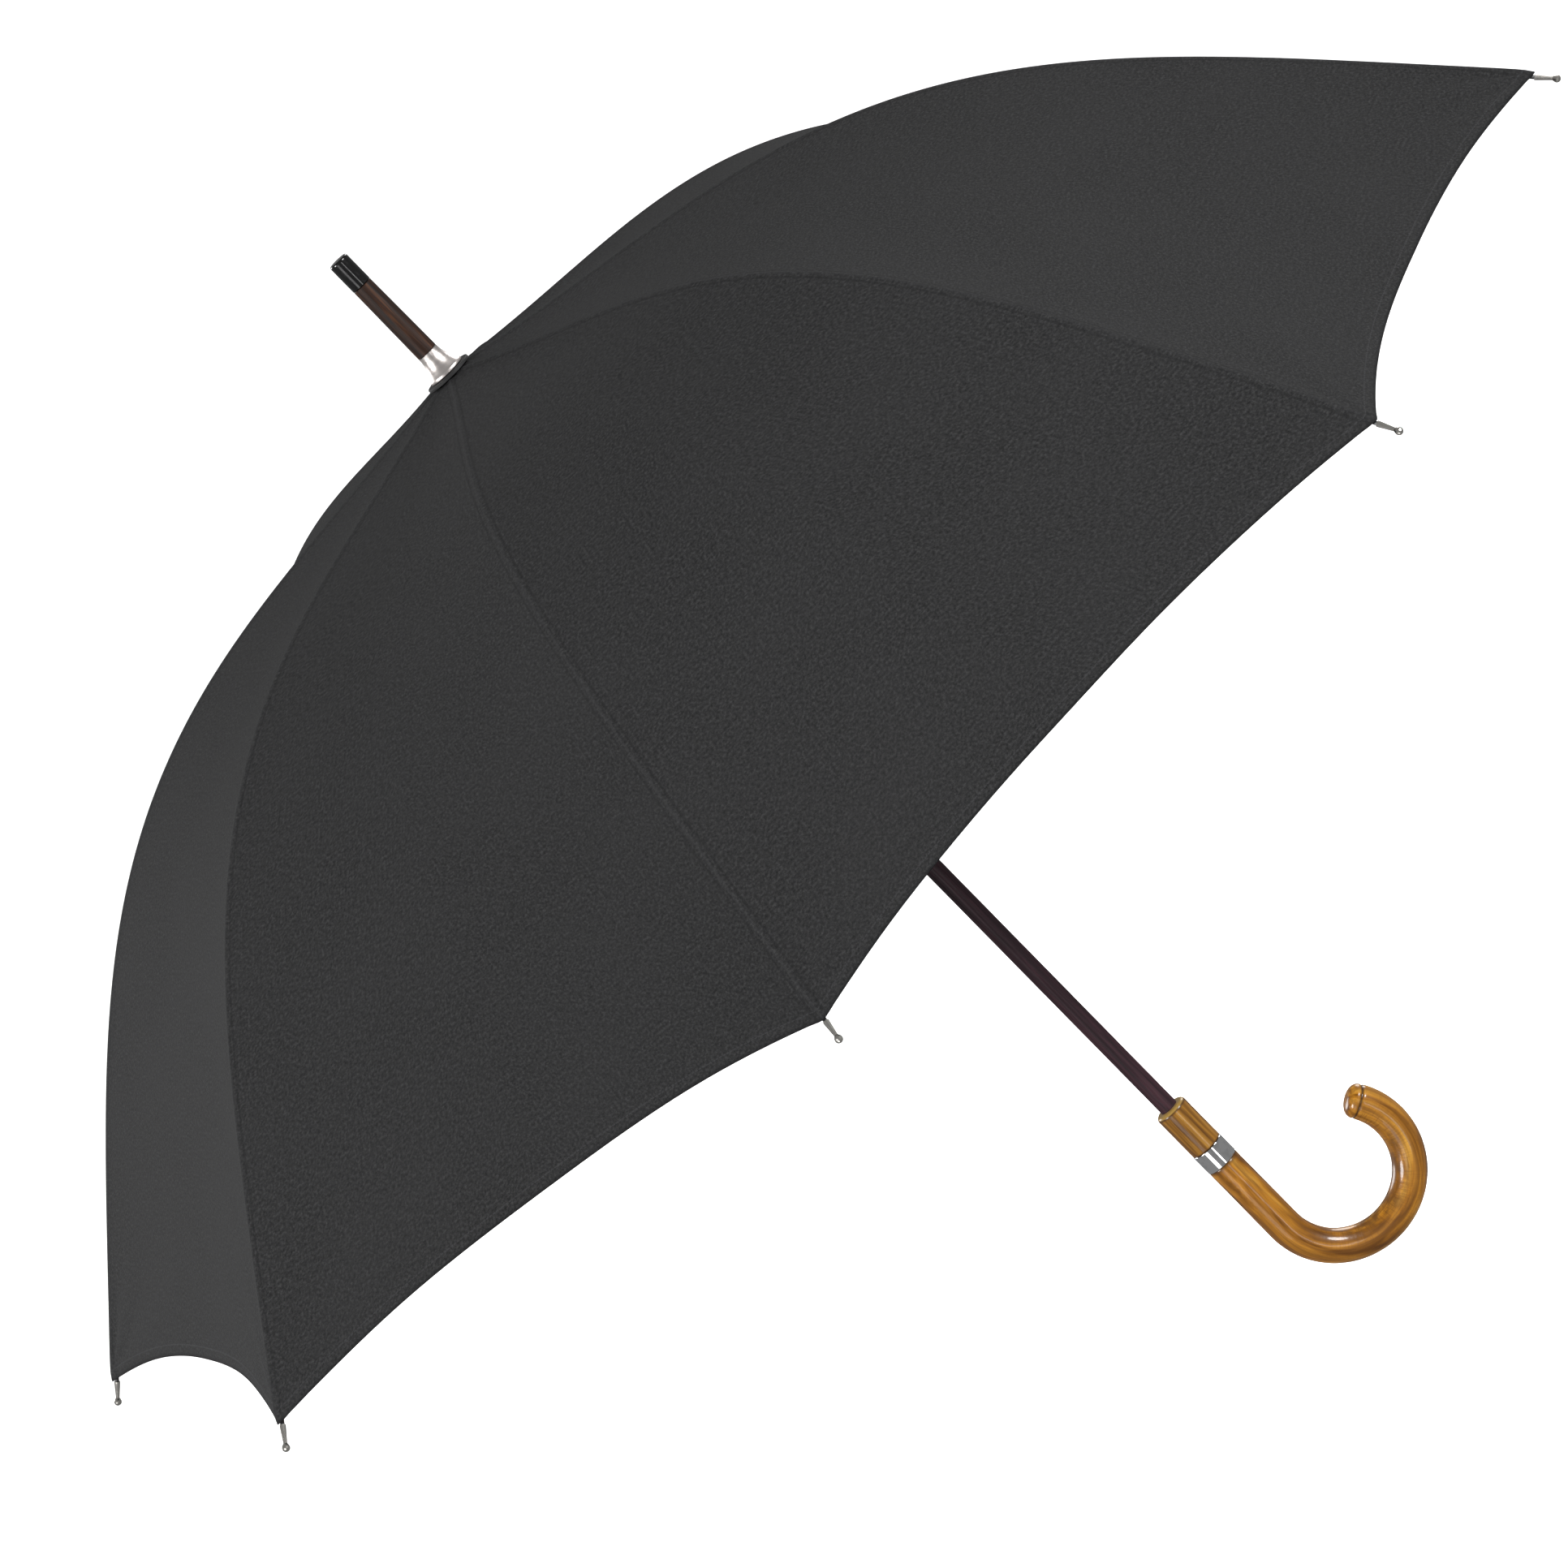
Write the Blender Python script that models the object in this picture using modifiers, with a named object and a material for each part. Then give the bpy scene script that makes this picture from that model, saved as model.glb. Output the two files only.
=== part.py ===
"""Stick umbrella, shown open: eight curved ribs, a crook handle and a long ferrule.

The shaft stands on +Z. The origin is on the shaft's axis, in the middle of the straight grip,
where a hand holds the umbrella. The crook bends to +X. Lengths are in metres, angles in radians.

Each rib swings on the notch at the top of the shaft, and each stretcher joins a rib to the runner.
The notch and the runner have the same pivot radius, and a stretcher is as long as the stretch of
rib above it, so the runner stays on the shaft while every pivot turns at a constant ratio.
"""

import math

import bmesh
import bpy
from mathutils import Matrix, Vector

GAP = 0.0003

# canopy
RIB_COUNT = 8
FIRST_RIB_AZIMUTH = math.radians(-10)
SECTOR = 2 * math.pi / RIB_COUNT
RIB_LENGTH = 0.690
CROWN_Z = 0.7165
CROWN_RADIUS = 0.014
CROWN_SLOPE = math.radians(10)
RIM_SLOPE = math.radians(47.3)
MIDDLE_BEND = 0.22
INNER_BEND = 0.05
FABRIC_THICKNESS = 0.0008
HEM_RISE = 0.0365
HEM_POWER = 2.5
SEAM_SPACE = 0.0002

# frame
JOINT_SHARE = 0.41
RIB_DROP = 0.0029
RIB_THICKNESS = 0.003
PIVOT_RADIUS = 0.011
BRACKET_DROP = 0.0048
BRACKET_THICKNESS = 0.001
PIN_RADIUS = 0.0006
STRETCHER_WIDTH = 0.003
CLOSED_ANGLE = math.radians(87.5)
CLOSED_TIP_LEAN = math.radians(4.5)
TIP_LENGTH = 0.016

# shaft and its fittings
SHAFT_RADIUS = 0.0061
TENON_RADIUS = 0.0040
NOTCH_RADIUS = 0.0132
RUNNER_LENGTH = 0.052
RUNNER_RADIUS = 0.0088
CATCH_THROW = 0.003
CATCH_LENGTH = 0.022
CATCH_AZIMUTH = math.radians(90)
WINDOW_LOW = 0.008
WINDOW_HIGH = 0.036

# ferrule, from the canopy up
WASHER_RADIUS = 0.0161
WASHER_HEIGHT = 0.0028
FLARE_HEIGHT = 0.0172
FLARE_RADIUS = 0.0125
WOOD_HEIGHT = 0.0564
WOOD_LOWER_RADIUS = 0.0070
WOOD_UPPER_RADIUS = 0.0066
CAP_HEIGHT = 0.0212

# handle, from the grip's middle
CROOK_RADIUS = 0.0112
BEND_RADIUS = 0.0463
BEND_ANGLE = math.radians(212)
GRIP_HALF = 0.0283
RING_HEIGHT = 0.0146
COLLAR_HEIGHT = 0.0341
END_DOME = 0.0060
SHAFT_END_Z = GRIP_HALF - 0.012


# ---- the canopy's meridian and the frame's pivots, in a rib's own plane (radius, height) ----


def slope_at(share):
    """Fall of the rib below the horizontal, at a share of its length from the crown.

    The rib is nearly straight out to the stretcher's joint, bends most there, and less beyond it.
    """
    angle = math.pi * share
    even = share - MIDDLE_BEND * math.sin(2 * angle) - INNER_BEND * math.sin(3 * angle)
    return CROWN_SLOPE + (RIM_SLOPE - CROWN_SLOPE) * even


def meridian(share, steps=60):
    """Point of the canopy over a rib, at a share of the rib's length from the crown."""
    radius, height = CROWN_RADIUS, CROWN_Z
    step = share * RIB_LENGTH / steps
    for i in range(steps):
        fall = slope_at(share * (i + 0.5) / steps)
        radius += step * math.cos(fall)
        height -= step * math.sin(fall)
    return radius, height


def under(share, drop):
    """Point that lies a given depth under the canopy, square to it."""
    radius, height = meridian(share)
    fall = slope_at(share)
    return radius - drop * math.sin(fall), height - drop * math.cos(fall)


def frame_pivots():
    """Pivots of one rib: notch, rib joint, bend, and runner, as (radius, height)."""
    notch = (PIVOT_RADIUS, CROWN_Z - RIB_DROP)
    joint = under(JOINT_SHARE - 0.008, RIB_DROP + BRACKET_DROP)
    bend = meridian(JOINT_SHARE)
    runner = (PIVOT_RADIUS, notch[1] - 2 * (notch[1] - joint[1]))
    return {"notch": notch, "joint": joint, "bend": bend, "runner": runner}


def fold_travel():
    """How far the rib swings from open to closed, and how far its outer part straightens."""
    pivots = frame_pivots()
    run = pivots["joint"][0] - pivots["notch"][0]
    fall = pivots["notch"][1] - pivots["joint"][1]
    swing = CLOSED_ANGLE - math.atan2(fall, run)
    rim, bend = meridian(1), pivots["bend"]
    outer_fall = math.atan2(bend[1] - rim[1], rim[0] - bend[0])
    straighten = math.pi / 2 - CLOSED_TIP_LEAN - outer_fall - swing
    return swing, straighten


# ---- Blender helpers ----


def clear_scene():
    for item in list(bpy.data.objects):
        bpy.data.objects.remove(item, do_unlink=True)


def add_collection(name):
    collection = bpy.data.collections.new(name)
    bpy.context.scene.collection.children.link(collection)
    return collection


def make_material(name, colour, roughness, metallic):
    material = bpy.data.materials.new(name)
    material.use_nodes = True
    shader = material.node_tree.nodes["Principled BSDF"]
    shader.inputs["Base Color"].default_value = (*colour, 1)
    shader.inputs["Roughness"].default_value = roughness
    shader.inputs["Metallic"].default_value = metallic
    return material


def add_object(name, data, place, material=None):
    item = bpy.data.objects.new(name, data)
    place.objects.link(item)
    if material:
        data.materials.clear()
        data.materials.append(material)
    return item


def add_cutter(name, mesh):
    item = add_object(name, mesh, CUTTERS)
    item.hide_render = True
    item.display_type = "WIRE"
    return item


def box_mesh(name, low, high):
    mesh = bpy.data.meshes.new(name)
    shape = bmesh.new()
    bmesh.ops.create_cube(shape, size=1)
    size = Vector(high) - Vector(low)
    middle = (Vector(high) + Vector(low)) / 2
    bmesh.ops.transform(
        shape,
        matrix=Matrix.Translation(middle) @ Matrix.Diagonal((*size, 1)),
        verts=shape.verts,
    )
    shape.to_mesh(mesh)
    shape.free()
    return mesh


def pin_mesh(name, radius, length, sides=8):
    """A cylinder lying along Y, about the origin."""
    mesh = bpy.data.meshes.new(name)
    shape = bmesh.new()
    bmesh.ops.create_cone(
        shape, cap_ends=True, segments=sides, radius1=radius, radius2=radius, depth=length
    )
    bmesh.ops.rotate(shape, matrix=Matrix.Rotation(math.pi / 2, 3, "X"), verts=shape.verts)
    shape.to_mesh(mesh)
    shape.free()
    return mesh


def combine(item, tool, operation):
    modifier = item.modifiers.new(operation.title(), "BOOLEAN")
    modifier.operation = operation
    modifier.object = tool


def bake(item):
    """The mesh that an object makes, welded. The object goes."""
    bpy.context.view_layer.update()
    evaluated = item.evaluated_get(bpy.context.evaluated_depsgraph_get())
    mesh = bpy.data.meshes.new_from_object(evaluated)
    mesh.transform(item.matrix_world)
    shape = bmesh.new()
    shape.from_mesh(mesh)
    bmesh.ops.remove_doubles(shape, verts=shape.verts, dist=1e-6)
    shape.to_mesh(mesh)
    shape.free()
    bpy.data.objects.remove(item, do_unlink=True)
    return mesh


def smooth(mesh, angle=math.radians(35)):
    mesh.shade_smooth()
    mesh.set_sharp_from_angle(angle=angle)


def turn(name, profile, material, closed=False, sides=32):
    """A turned piece. The profile of (radius, height) runs down its outer side."""
    mesh = bpy.data.meshes.new(name)
    edges = [(i, i + 1) for i in range(len(profile) - 1)]
    if closed:
        edges.append((len(profile) - 1, 0))
    mesh.from_pydata([(r, 0, z) for r, z in profile], edges, [])
    item = add_object(name, mesh, UMBRELLA, material)
    screw = item.modifiers.new("Turn", "SCREW")
    screw.steps = screw.render_steps = sides
    screw.use_merge_vertices = True
    screw.merge_threshold = 1e-5
    screw.use_smooth_shade = True
    return item


def tube_mesh(name, points, radius, sides_level=2, radii=None):
    """A rod through points, round in section, with closed ends."""
    curve = bpy.data.curves.new(name, "CURVE")
    curve.dimensions = "3D"
    curve.bevel_depth = radius
    curve.bevel_resolution = sides_level
    curve.use_fill_caps = True
    spline = curve.splines.new("POLY")
    spline.points.add(len(points) - 1)
    for i, point in enumerate(points):
        spline.points[i].co = (*point, 1)
        spline.points[i].radius = radii[i] if radii else 1
    return bake(add_object(name, curve, UMBRELLA))


def plate_mesh(name, outline, thickness):
    """A flat outline of (radius, height) points, as a plate centred on the rib's plane."""
    curve = bpy.data.curves.new(name, "CURVE")
    curve.dimensions = "2D"
    curve.fill_mode = "BOTH"
    curve.extrude = thickness / 2
    spline = curve.splines.new("POLY")
    spline.points.add(len(outline) - 1)
    for i, (x, z) in enumerate(outline):
        spline.points[i].co = (x, z, 0, 1)
    spline.use_cyclic_u = True
    item = add_object(name, curve, UMBRELLA)
    item.rotation_euler.x = math.pi / 2
    return bake(item)


def place_round(mesh, name, index, pivot, material):
    """A copy of a piece made about its pivot, set in the plane of one rib."""
    azimuth = FIRST_RIB_AZIMUTH - index * SECTOR
    item = add_object(name, mesh, UMBRELLA, material)
    item.rotation_euler.z = azimuth
    item.location = (pivot[0] * math.cos(azimuth), pivot[0] * math.sin(azimuth), pivot[1])
    return item


def about(point, pivot):
    return point[0] - pivot[0], 0, point[1] - pivot[1]


# ---- handle ----


def crook_path():
    """Centre line of the crook, from its top to its end, with the share of its full radius."""
    points = [(0, 0, GRIP_HALF), (0, 0, 0), (0, 0, -GRIP_HALF)]
    radii = [0.98, 0.99, 1.0]
    steps = 18
    for i in range(1, steps + 1):
        angle = BEND_ANGLE * i / steps
        x = BEND_RADIUS * (1 - math.cos(angle))
        points.append((x, 0, -GRIP_HALF - BEND_RADIUS * math.sin(angle)))
        radii.append(1.0)
    end = Vector(points[-1])
    onward = Vector((math.sin(BEND_ANGLE), 0, -math.cos(BEND_ANGLE)))
    for angle in (25, 50, 75):
        turn_angle = math.radians(angle)
        points.append(tuple(end + onward * END_DOME * math.sin(turn_angle)))
        radii.append(math.cos(turn_angle))
    return points, radii


def build_handle():
    wood = make_material("maple", (0.51, 0.22, 0.05), 0.25, 0)
    chrome = make_material("polished_steel", (0.78, 0.78, 0.78), 0.12, 1)
    points, radii = crook_path()
    mesh = tube_mesh("crook", points, CROOK_RADIUS, sides_level=4, radii=radii)
    crook = add_object("crook", mesh, UMBRELLA, wood)
    socket = box_mesh("socket", (-0.005, -0.005, SHAFT_END_Z - GAP), (0.005, 0.005, 0.05))
    combine(crook, add_cutter("crook_socket", socket), "DIFFERENCE")
    smooth(mesh)
    bore = SHAFT_RADIUS + GAP
    ring_low, ring_high = GRIP_HALF + GAP, GRIP_HALF + RING_HEIGHT
    ring = [
        (CROOK_RADIUS - 0.0004, ring_high),
        (CROOK_RADIUS, ring_high - 0.0006),
        (CROOK_RADIUS, ring_low + 0.0006),
        (CROOK_RADIUS - 0.0004, ring_low),
        (bore, ring_low),
        (bore, ring_high),
    ]
    turn("handle_ring", ring, chrome, closed=True)
    low, high = ring_high + GAP, ring_high + COLLAR_HEIGHT
    side = CROOK_RADIUS - 0.0002
    collar = [
        (side - 0.0018, high),
        (side - 0.0007, high - 0.0009),
        (side - 0.0002, high - 0.0026),
        (side, high - 0.0080),
        (side, low),
        (bore, low),
        (bore, high),
    ]
    turn("handle_collar", collar, wood, closed=True)


# ---- shaft and its fittings ----


def catch_outline(top):
    """A sprung catch in the shaft: square on top, so that the runner rests on it."""
    low = top - CATCH_LENGTH
    nose = SHAFT_RADIUS + CATCH_THROW
    return [
        (0.0012, low),
        (SHAFT_RADIUS - 0.0004, low),
        (nose, top - 0.0035),
        (nose, top),
        (0.0012, top),
    ]


def catch_tops():
    """Heights of the two catches' tops: under the runner when open, and inside it when closed."""
    pivots = frame_pivots()
    reach = math.dist(pivots["notch"], pivots["joint"])
    closed = pivots["notch"][1] - 2 * reach * math.sin(CLOSED_ANGLE)
    open_top = pivots["runner"][1] - RUNNER_LENGTH - 0.0006
    return {"top_catch": open_top, "bottom_catch": closed - RUNNER_LENGTH + WINDOW_HIGH - 0.002}


def build_shaft():
    stain = make_material("stained_wood", (0.062, 0.028, 0.034), 0.4, 0)
    steel = make_material("spring_steel", (0.55, 0.55, 0.55), 0.3, 1)
    tenon_top = CROWN_Z + WASHER_HEIGHT + FLARE_HEIGHT + 0.022
    shoulder = CROWN_Z + 0.0006
    profile = [
        (0, tenon_top),
        (TENON_RADIUS, tenon_top),
        (TENON_RADIUS, shoulder),
        (SHAFT_RADIUS, shoulder),
        (SHAFT_RADIUS, GRIP_HALF + GAP),
        (0.0045, GRIP_HALF + GAP),
        (0.0045, SHAFT_END_Z),
        (0, SHAFT_END_Z),
    ]
    shaft = turn("shaft", profile, stain)
    for name, top in catch_tops().items():
        slot = box_mesh(
            name, (-0.0024, -0.0014, top - CATCH_LENGTH - 0.0006), (0.02, 0.0014, top + 0.0006)
        )
        cutter = add_cutter(name + "_slot", slot)
        combine(shaft, cutter, "DIFFERENCE")
        catch = add_object(name, plate_mesh(name, catch_outline(top), 0.002), UMBRELLA, steel)
        cutter.rotation_euler.z = catch.rotation_euler.z = CATCH_AZIMUTH


def slot_cutters(item, inner, width, low, high):
    """Cuts one radial slot for each rib out of a turned hub."""
    for index in range(RIB_COUNT):
        slot = box_mesh("slot", (inner, -width / 2, low), (0.03, width / 2, high))
        cutter = add_cutter(f"{item.name}_slot_{index + 1}", slot)
        cutter.rotation_euler.z = FIRST_RIB_AZIMUTH - index * SECTOR
        combine(item, cutter, "DIFFERENCE")


def build_notch():
    black = make_material("black_nylon", (0.015, 0.015, 0.016), 0.45, 0)
    bore = SHAFT_RADIUS + GAP
    pivot = frame_pivots()["notch"][1]
    high, low = CROWN_Z - 0.0004, pivot - 0.0050
    profile = [
        (NOTCH_RADIUS, high),
        (NOTCH_RADIUS, low + 0.001),
        (NOTCH_RADIUS - 0.001, low),
        (NOTCH_RADIUS - 0.0022, low),
        (0.0086, low - 0.006),
        (bore, low - 0.006),
        (bore, high),
    ]
    notch = turn("notch", profile, black, closed=True, sides=24)
    slot_cutters(notch, 0.0083, STRETCHER_WIDTH + 0.001, low - 0.01, high + 0.01)


def build_runner():
    nickel = make_material("nickel", (0.62, 0.61, 0.58), 0.2, 1)
    bore = SHAFT_RADIUS + 0.0004
    pivot = frame_pivots()["runner"][1]
    high, shelf, low = pivot + 0.0045, pivot - 0.0045, pivot - RUNNER_LENGTH
    profile = [
        (NOTCH_RADIUS - 0.001, high),
        (NOTCH_RADIUS, high - 0.001),
        (NOTCH_RADIUS, shelf),
        (RUNNER_RADIUS, shelf - 0.004),
        (RUNNER_RADIUS, low + 0.006),
        (RUNNER_RADIUS + 0.0014, low + 0.005),
        (RUNNER_RADIUS + 0.0014, low),
        (bore, low),
        (bore, high),
    ]
    runner = turn("runner", profile, nickel, closed=True, sides=24)
    slot_cutters(runner, 0.0083, STRETCHER_WIDTH + 0.001, shelf - 0.0052, high + 0.01)
    window = box_mesh(
        "window", (0.004, -0.0018, low + WINDOW_LOW), (0.02, 0.0018, low + WINDOW_HIGH)
    )
    cutter = add_cutter("runner_window", window)
    cutter.rotation_euler.z = CATCH_AZIMUTH
    combine(runner, cutter, "DIFFERENCE")


# ---- ferrule ----


def build_ferrule():
    black = make_material("black_fabric", (0.03, 0.03, 0.032), 0.8, 0)
    chrome = make_material("ferrule_steel", (0.8, 0.8, 0.8), 0.12, 1)
    wood = make_material("walnut", (0.055, 0.028, 0.016), 0.35, 0)
    lacquer = make_material("black_lacquer", (0.012, 0.012, 0.013), 0.2, 0)
    bore = TENON_RADIUS + GAP
    washer_low = CROWN_Z + 0.0010
    washer_high = CROWN_Z + WASHER_HEIGHT
    washer = [
        (WASHER_RADIUS - 0.0008, washer_high),
        (WASHER_RADIUS, washer_high - 0.0006),
        (WASHER_RADIUS, washer_low),
        (bore, washer_low),
        (bore, washer_high),
    ]
    turn("crown_washer", washer, black, closed=True)
    base = washer_high + GAP
    top = washer_high + FLARE_HEIGHT
    flare = [(WOOD_LOWER_RADIUS, top)]
    for i in range(1, 9):
        share = i / 8
        width = WOOD_LOWER_RADIUS + (FLARE_RADIUS - WOOD_LOWER_RADIUS) * share**2.2
        flare.append((width, top - (FLARE_HEIGHT - 0.0018) * share))
    flare += [(FLARE_RADIUS, base), (bore, base), (bore, top)]
    turn("ferrule_flare", flare, chrome, closed=True)
    wood_low, wood_high = top + GAP, top + WOOD_HEIGHT
    turn(
        "wood_ferrule",
        [
            (0, wood_high + 0.010),
            (0.0048, wood_high + 0.010),
            (0.0048, wood_high),
            (WOOD_UPPER_RADIUS, wood_high),
            (WOOD_LOWER_RADIUS, wood_low),
            (bore, wood_low),
            (bore, wood_low + 0.024),
            (0, wood_low + 0.024),
        ],
        wood,
    )
    cap_low, cap_high = wood_high + GAP, wood_high + CAP_HEIGHT
    turn(
        "ferrule_cap",
        [
            (0, cap_high),
            (0.0050, cap_high),
            (0.0060, cap_high - 0.0004),
            (WOOD_UPPER_RADIUS, cap_high - 0.0016),
            (WOOD_UPPER_RADIUS + 0.0001, cap_low),
            (0.0048 + GAP, cap_low),
            (0.0048 + GAP, wood_high + 0.010 + GAP),
            (0, wood_high + 0.010 + GAP),
        ],
        lacquer,
    )


# ---- ribs, stretchers and tips ----


def rib_points(start, end, count, pivot):
    shares = [start + (end - start) * i / count for i in range(count + 1)]
    return [about(under(share, RIB_DROP), pivot) for share in shares]


def inner_rib_mesh(pivots):
    """The rib from the notch to the bend, with the bracket that carries the stretcher."""
    notch, joint = pivots["notch"], pivots["joint"]
    points = [(-0.0012, 0, 0)] + rib_points(0.012, JOINT_SHARE - 0.0006, 9, notch)
    rib = add_object("inner_rib", tube_mesh("inner_rib", points, RIB_THICKNESS / 2, 1), UMBRELLA)
    at = about(joint, notch)
    fall = slope_at(JOINT_SHARE)
    tab = box_mesh("tab", (-0.003, -BRACKET_THICKNESS / 2, -0.0017), (0.003, BRACKET_THICKNESS / 2, 0.004))
    tab.transform(Matrix.Translation(at) @ Matrix.Rotation(fall, 4, "Y"))
    hole = pin_mesh("hole", PIN_RADIUS + GAP, 0.01)
    hole.transform(Matrix.Translation(at))
    combine(rib, add_cutter("rib_tab", tab), "UNION")
    combine(rib, add_cutter("rib_tab_hole", hole), "DIFFERENCE")
    return bake(rib)


def outer_rib_mesh(pivots):
    points = rib_points(JOINT_SHARE + 0.0006, 1.0, 11, pivots["bend"])
    return tube_mesh("outer_rib", points, RIB_THICKNESS / 2 * 0.9, 1)


def bar_outline(start, end, half_width, eye_radius):
    """A bar between two pivots, with a round eye at each."""
    along = Vector((end[0] - start[0], end[1] - start[1]))
    angle = math.atan2(along.y, along.x)
    spread = math.asin(half_width / eye_radius)
    outline = []
    for centre, turned in ((start, angle + math.pi), (end, angle)):
        for i in range(7):
            at = turned - math.pi + spread + (2 * math.pi - 2 * spread) * i / 6
            outline.append(
                (centre[0] + eye_radius * math.cos(at), centre[1] + eye_radius * math.sin(at))
            )
    return outline


def stretcher_mesh(pivots):
    """The stretcher, made about the pivot on the rib, whose end is forked round the bracket."""
    joint, runner = pivots["joint"], pivots["runner"]
    far = (runner[0] - joint[0], runner[1] - joint[1])
    outline = bar_outline((0, 0), far, 0.0012, 0.0019)
    bar = add_object("stretcher", plate_mesh("stretcher", outline, STRETCHER_WIDTH), UMBRELLA)
    fork = BRACKET_THICKNESS / 2 + GAP
    gap = box_mesh("fork", (-0.0060, -fork, -0.004), (0.004, fork, 0.004))
    gap.transform(Matrix.Rotation(math.atan2(far[1], -far[0]), 4, "Y"))
    combine(bar, add_cutter("stretcher_fork", gap), "DIFFERENCE")
    pin = pin_mesh("pin", PIN_RADIUS, STRETCHER_WIDTH + 0.0008)
    combine(bar, add_cutter("stretcher_pin", pin), "UNION")
    return bake(bar)


def tip_mesh(pivots):
    """The tapered metal end of a rib, with its ball, made about the rib's bend."""
    fall = slope_at(1)
    ball = 0.0025
    profile = [(0, 0)]
    for i in range(1, 6):
        angle = math.pi * i / 7
        profile.append((ball * math.sin(angle), -ball * (1 - math.cos(angle))))
    profile += [(0.0012, -0.0052), (0.0019, -TIP_LENGTH + 0.001), (0.0019, -TIP_LENGTH)]
    profile.append((0, -TIP_LENGTH))
    item = turn("tip", profile, None, sides=12)
    end = about(under(1, RIB_DROP), pivots["bend"])
    onward = Vector((math.cos(fall), 0, -math.sin(fall)))
    item.rotation_euler.y = math.pi / 2 + fall
    item.location = Vector(end) + onward * (TIP_LENGTH + GAP)
    return bake(item)


def build_frame():
    steel = make_material("black_steel", (0.03, 0.03, 0.032), 0.35, 1)
    nickel = make_material("tip_nickel", (0.66, 0.64, 0.6), 0.22, 1)
    pivots = frame_pivots()
    pieces = [
        ("rib_{}_inner", inner_rib_mesh(pivots), "notch", steel),
        ("rib_{}_outer", outer_rib_mesh(pivots), "bend", steel),
        ("stretcher_{}", stretcher_mesh(pivots), "joint", steel),
        ("rib_tip_{}", tip_mesh(pivots), "bend", nickel),
    ]
    for name, mesh, pivot, material in pieces:
        smooth(mesh)
        for index in range(RIB_COUNT):
            place_round(mesh, name.format(index + 1), index, pivots[pivot], material)


# ---- canopy ----


def canopy_point(share, side):
    """Canopy in a rib's own frame. Side runs from -1 to 1 between the gores' middle lines."""
    radius, height = meridian(share)
    across = side * (math.sin(SECTOR / 2) * radius - SEAM_SPACE)
    inset = abs(across) * math.sin(SECTOR / 2)
    return radius - inset, across * math.cos(SECTOR / 2), height


def canopy_mesh(name, start, end, rows, columns, pivot):
    """One sector of cloth over a rib, as an open sheet, made about its pivot."""
    points, faces = [], []
    for i in range(rows + 1):
        for j in range(columns + 1):
            side = 2 * j / columns - 1
            last = end - (HEM_RISE * (1 - (1 - abs(side)) ** HEM_POWER) if end == 1 else 0)
            x, y, z = canopy_point(start + (last - start) * i / rows, side)
            points.append((x - pivot[0], y, z - pivot[1]))
    wide = columns + 1
    for i in range(rows):
        for j in range(columns):
            at = i * wide + j
            faces.append((at, at + wide, at + wide + 1, at + 1))
    mesh = bpy.data.meshes.new(name)
    mesh.from_pydata(points, [], faces)
    return mesh


def build_canopy():
    cloth = make_material("black_cloth", (0.035, 0.035, 0.037), 0.85, 0)
    pivots = frame_pivots()
    joint_gap = GAP / RIB_LENGTH
    upper = canopy_mesh("upper", 0, JOINT_SHARE - joint_gap, 7, 4, pivots["notch"])
    lower = canopy_mesh("lower", JOINT_SHARE + joint_gap, 1, 7, 8, pivots["bend"])
    for level, mesh, pivot in (("upper", upper, "notch"), ("lower", lower, "bend")):
        for index in range(RIB_COUNT):
            name = f"canopy_{index + 1}_{level}"
            panel = place_round(mesh, name, index, pivots[pivot], cloth)
            shell = panel.modifiers.new("Thickness", "SOLIDIFY")
            shell.thickness = FABRIC_THICKNESS
            shell.offset = 0


def main():
    build_handle()
    build_shaft()
    build_notch()
    build_runner()
    build_ferrule()
    build_frame()
    build_canopy()


clear_scene()
UMBRELLA = add_collection("stick_umbrella")
CUTTERS = add_collection("cutters")
main()
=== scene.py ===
"""Looks of the stick umbrella: sewn canopy, bent wooden crook, fittings, light and camera.

Lengths are in metres, in the frame's own axes. The canopy's and the crook's formulas are those of
the CAD part, so each piece lies where its CAD node lies.
"""

import math

import bpy
import numpy as np
from mathutils import Matrix, Vector, noise


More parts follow.
